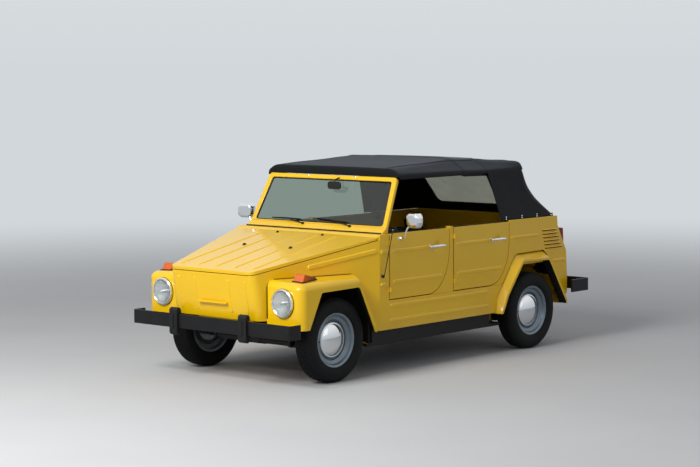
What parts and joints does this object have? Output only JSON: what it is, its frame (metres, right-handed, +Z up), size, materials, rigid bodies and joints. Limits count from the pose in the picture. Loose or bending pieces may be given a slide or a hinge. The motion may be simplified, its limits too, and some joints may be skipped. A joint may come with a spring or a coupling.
{
  "type": "open-top utility car",
  "caption": "Boxy open four-door utility car with a raised fabric top, ribbed steel panels, opening doors and lids, and steered road wheels.",
  "frame": {"origin": "on the ground, on the centre line, midway between the bumper faces", "axes": "+X forward, +Y to the car's left, +Z up"},
  "size_m": [3.8, 1.9558, 1.6258],
  "materials": {
    "body_paint": "gloss yellow enamel",
    "black_paint": "satin black",
    "wheel_silver": "silver enamel",
    "chrome": "polished chrome",
    "rubber": "black rubber",
    "tyre": "tyre rubber",
    "top_fabric": "coated canvas",
    "window_vinyl": "clear vinyl",
    "glass": "clear glass",
    "lamp_glass": "fluted glass",
    "amber_lens": "amber plastic",
    "red_lens": "red plastic",
    "vinyl": "black leathercloth",
    "bare_metal": "cast metal",
    "black_plastic": "moulded black plastic"
  },
  "bodies": {
    "body": {"floor_pan": "black_paint", "front_bulkhead": "body_paint", "front_tub": "body_paint", "rear_deck": "body_paint", "sills": "body_paint", "door_posts": "body_paint", "door_hinges": "body_paint", "quarter_panels": "body_paint", "rear_flares": "body_paint", "rear_panel": "body_paint", "nose_panel": "body_paint", "hood_seal": "rubber", "latch_bar": "body_paint", "cowl_panel": "body_paint", "front_fenders": "body_paint", "front_bumper": "black_paint", "rear_bumper": "black_paint", "bumper_guards": "rubber", "windshield_frame": "body_paint", "windshield_glass": "glass", "soft_top": "top_fabric", "rear_window": "window_vinyl", "top_bows": "black_paint", "dashboard": "body_paint", "steering_column": "black_paint", "front_seats": "vinyl", "rear_seat": "vinyl", "front_axle": "black_paint", "rear_axle": "bare_metal", "engine": "bare_metal", "exhaust": "bare_metal", "headlights": "lamp_glass", "turn_signals": "amber_lens", "tail_lights": "red_lens", "aerial": "black_plastic"},
    "hood": {"hood": "body_paint"},
    "engine_lid": {"engine_lid": "body_paint"},
    "steering_wheel": {"steering_wheel": "black_plastic"},
    "front_door_left": {"front_door_left": "body_paint", "front_handle_left": "chrome", "mirror_left": "chrome"},
    "rear_door_left": {"rear_door_left": "body_paint", "rear_handle_left": "chrome"},
    "knuckle_left": {"knuckle_left": "bare_metal"},
    "wheel_front_left": {"wheel_front_left": "wheel_silver", "tyre_front_left": "tyre"},
    "wheel_rear_left": {"wheel_rear_left": "wheel_silver", "tyre_rear_left": "tyre"},
    "front_door_right": {"front_door_right": "body_paint", "front_handle_right": "chrome", "mirror_right": "chrome"},
    "rear_door_right": {"rear_door_right": "body_paint", "rear_handle_right": "chrome"},
    "knuckle_right": {"knuckle_right": "bare_metal"},
    "wheel_front_right": {"wheel_front_right": "wheel_silver", "tyre_front_right": "tyre"},
    "wheel_rear_right": {"wheel_rear_right": "wheel_silver", "tyre_rear_right": "tyre"}
  },
  "joints": [
    {"name": "front_door_left_hinge", "type": "hinge", "parent": "body", "child": "front_door_left", "pos_m": [0.682, 0.774, 0.83], "axis": [0, 0, -1], "range_deg": [0, 65]},
    {"name": "rear_door_left_hinge", "type": "hinge", "parent": "body", "child": "rear_door_left", "pos_m": [-0.104, 0.774, 0.83], "axis": [0, 0, -1], "range_deg": [0, 65]},
    {"name": "steer_front_left", "type": "hinge", "parent": "body", "child": "knuckle_left", "pos_m": [1.26, 0.595, 0.32], "axis": [0, 0, 1], "range_deg": [-30, 30]},
    {"name": "wheel_front_left_spin", "type": "hinge", "parent": "knuckle_left", "child": "wheel_front_left", "pos_m": [1.26, 0.662, 0.32], "axis": [0, 1, 0], "continuous": true},
    {"name": "wheel_rear_left_spin", "type": "hinge", "parent": "body", "child": "wheel_rear_left", "pos_m": [-1.14, 0.705, 0.32], "axis": [0, 1, 0], "continuous": true},
    {"name": "front_door_right_hinge", "type": "hinge", "parent": "body", "child": "front_door_right", "pos_m": [0.682, -0.774, 0.83], "axis": [0, 0, 1], "range_deg": [0, 65]},
    {"name": "rear_door_right_hinge", "type": "hinge", "parent": "body", "child": "rear_door_right", "pos_m": [-0.104, -0.774, 0.83], "axis": [0, 0, 1], "range_deg": [0, 65]},
    {"name": "steer_front_right", "type": "hinge", "parent": "body", "child": "knuckle_right", "pos_m": [1.26, -0.595, 0.32], "axis": [0, 0, 1], "range_deg": [-30, 30]},
    {"name": "wheel_front_right_spin", "type": "hinge", "parent": "knuckle_right", "child": "wheel_front_right", "pos_m": [1.26, -0.662, 0.32], "axis": [0, 1, 0], "continuous": true},
    {"name": "wheel_rear_right_spin", "type": "hinge", "parent": "body", "child": "wheel_rear_right", "pos_m": [-1.14, -0.705, 0.32], "axis": [0, 1, 0], "continuous": true},
    {"name": "hood_hinge", "type": "hinge", "parent": "body", "child": "hood", "pos_m": [0.823, 0, 1.071], "axis": [0, -1, 0], "range_deg": [0, 55]},
    {"name": "engine_lid_hinge", "type": "hinge", "parent": "body", "child": "engine_lid", "pos_m": [-1.546, 0, 0.97], "axis": [0, 1, 0], "range_deg": [0, 60]},
    {"name": "steering_wheel_turn", "type": "hinge", "parent": "body", "child": "steering_wheel", "pos_m": [0.372, 0.37, 0.905], "axis": [-0.848, 0, 0.5299], "range_deg": [-430, 430]}
  ],
  "couplings": [
    {"joint": "steer_front_right", "follows": "steer_front_left", "ratio": 1},
    {"joint": "steering_wheel_turn", "follows": "steer_front_left", "ratio": 14.3}
  ]
}
